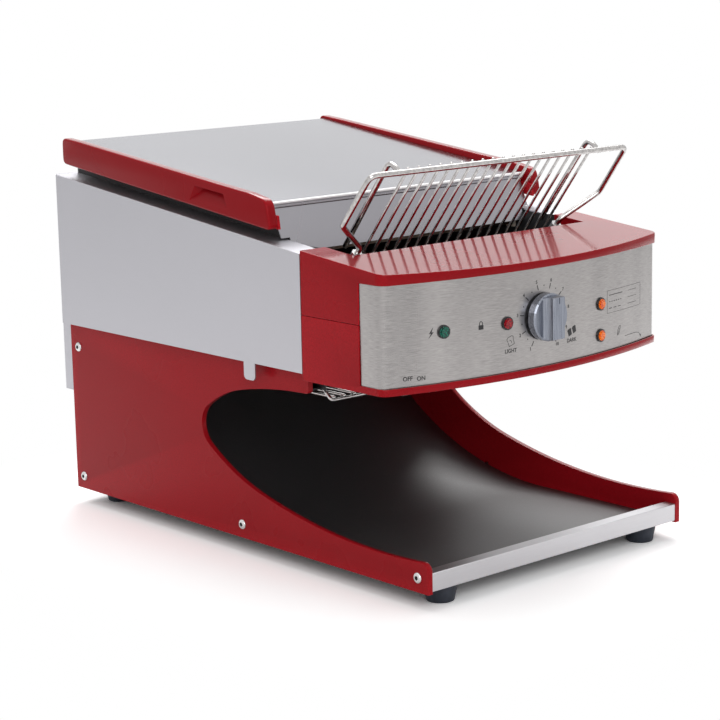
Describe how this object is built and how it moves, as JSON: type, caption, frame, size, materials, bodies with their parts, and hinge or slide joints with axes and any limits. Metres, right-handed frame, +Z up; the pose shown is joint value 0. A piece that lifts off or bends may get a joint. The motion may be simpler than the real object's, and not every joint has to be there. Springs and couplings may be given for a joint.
{
  "type": "conveyor toaster",
  "caption": "Countertop conveyor toaster with a sloping wire feed rack, a walking wire bed, a hinged lid and a long curved toast tray between cut-out side panels.",
  "frame": {"origin": "centre of the overall box at the level of the feet's lower faces", "axes": "+Z up, -Y towards the front with the controls and the tray's mouth, +X to the right seen from the front"},
  "size_m": [0.4048, 0.6294, 0.4327],
  "materials": {
    "red_paint": "gloss",
    "brushed_sheet": "brushed",
    "black_enamel": "semi-gloss, speckled",
    "bright_wire": "polished",
    "foot_rubber": "matte",
    "fastener_steel": "satin",
    "shaft_steel": "ground",
    "bronze": "plain",
    "ceramic": "glazed",
    "heating_sheath": "heat-dulled",
    "knob_plastic": "satin silver-grey",
    "black_plastic": "semi-gloss",
    "lens_green_plastic": "clear",
    "lens_red_plastic": "clear",
    "lens_amber_plastic": "clear",
    "board": "plain",
    "motor_case": "cast"
  },
  "bodies": {
    "housing": {"bed_grid": "bright_wire", "button_cup": "black_plastic", "ceramic_blocks": "ceramic", "chassis_side_left": "black_enamel", "chassis_side_right": "black_enamel", "control_board": "board", "fascia": "brushed_sheet", "feet": "foot_rubber", "floor_pan": "black_enamel", "front_bar": "brushed_sheet", "gear_motor": "motor_case", "guard_grid": "bright_wire", "head_bottom": "red_paint", "head_top": "red_paint", "lamp_bezels": "black_plastic", "lens_amber": "lens_amber_plastic", "lens_green": "lens_green_plastic", "lens_red": "lens_red_plastic", "lid_pins": "fastener_steel", "lower_heating_rods": "heating_sheath", "mains_gland": "black_plastic", "panel_screws": "fastener_steel", "rack_guide_left": "fastener_steel", "rack_guide_right": "fastener_steel", "rear_chute": "black_enamel", "rear_cover": "brushed_sheet", "rear_cover_screws": "fastener_steel", "rear_wall": "black_enamel", "shaft_bushes": "bronze", "side_cover_left": "brushed_sheet", "side_cover_right": "brushed_sheet", "side_panel_left": "red_paint", "side_panel_right": "red_paint", "slot_shield": "brushed_sheet", "speed_control": "black_plastic", "switch_housing": "black_plastic", "terminal_strip": "black_plastic", "tie_rods": "fastener_steel", "toast_tray": "black_enamel", "upper_heating_rods": "heating_sheath", "upper_reflector": "brushed_sheet"},
    "lid": {"lid_sheet": "brushed_sheet", "lid_cap_left": "red_paint", "lid_cap_right": "red_paint"},
    "feed_rack": {"feed_rack": "bright_wire"},
    "knob": {"knob": "knob_plastic", "knob_shaft": "shaft_steel"},
    "rocker": {"power_rocker": "black_plastic"},
    "button": {"mode_button": "black_plastic"},
    "front_shaft": {"front_shaft": "shaft_steel", "drive_gear": "shaft_steel"},
    "rear_shaft": {"rear_shaft": "shaft_steel", "rear_crank": "shaft_steel"},
    "walking_grid": {"walking_grid": "bright_wire"},
    "coupling_rod": {"coupling_rod": "shaft_steel"},
    "pinion": {"pinion": "shaft_steel", "motor_shaft": "shaft_steel"}
  },
  "joints": [
    {"name": "lid_hinge", "type": "hinge", "parent": "housing", "child": "lid", "pos_m": [0, 0.26872, 0.4115], "axis": [-1, 0, 0], "range_deg": [0, 70]},
    {"name": "feed_rack_lift", "type": "slide", "parent": "housing", "child": "feed_rack", "axis": [0, -0.6101, 0.7923], "range_m": [0, 0.025]},
    {"name": "knob_turn", "type": "hinge", "parent": "housing", "child": "knob", "pos_m": [-0.007, -0.30928, 0.269], "axis": [0, 1, 0], "range_deg": [0, 270]},
    {"name": "rocker_tilt", "type": "hinge", "parent": "housing", "child": "rocker", "pos_m": [-0.166, -0.25378, 0.2135], "axis": [1, 0, 0], "range_deg": [0, 20]},
    {"name": "button_press", "type": "slide", "parent": "housing", "child": "button", "axis": [0, 0, 1], "range_m": [0, 0.003], "stiffness_N_per_m": 200, "springref_m": -0.002},
    {"name": "front_shaft_turn", "type": "hinge", "parent": "housing", "child": "front_shaft", "pos_m": [0, -0.10428, 0.2395], "axis": [-1, 0, 0], "continuous": true},
    {"name": "rear_shaft_turn", "type": "hinge", "parent": "housing", "child": "rear_shaft", "pos_m": [0, 0.11572, 0.2395], "axis": [-1, 0, 0], "continuous": true},
    {"name": "walking_grid_turn", "type": "hinge", "parent": "front_shaft", "child": "walking_grid", "pos_m": [0, -0.10428, 0.2305], "axis": [-1, 0, 0], "continuous": true},
    {"name": "coupling_rod_turn", "type": "hinge", "parent": "front_shaft", "child": "coupling_rod", "pos_m": [0.1825, -0.11428, 0.2395], "axis": [-1, 0, 0], "continuous": true},
    {"name": "pinion_turn", "type": "hinge", "parent": "housing", "child": "pinion", "pos_m": [0.177, -0.15928, 0.2395], "axis": [-1, 0, 0], "continuous": true}
  ],
  "couplings": [
    {"joint": "rear_shaft_turn", "follows": "front_shaft_turn", "ratio": 1},
    {"joint": "walking_grid_turn", "follows": "front_shaft_turn", "ratio": -1},
    {"joint": "coupling_rod_turn", "follows": "front_shaft_turn", "ratio": -1},
    {"joint": "pinion_turn", "follows": "front_shaft_turn", "ratio": -2.0556}
  ]
}
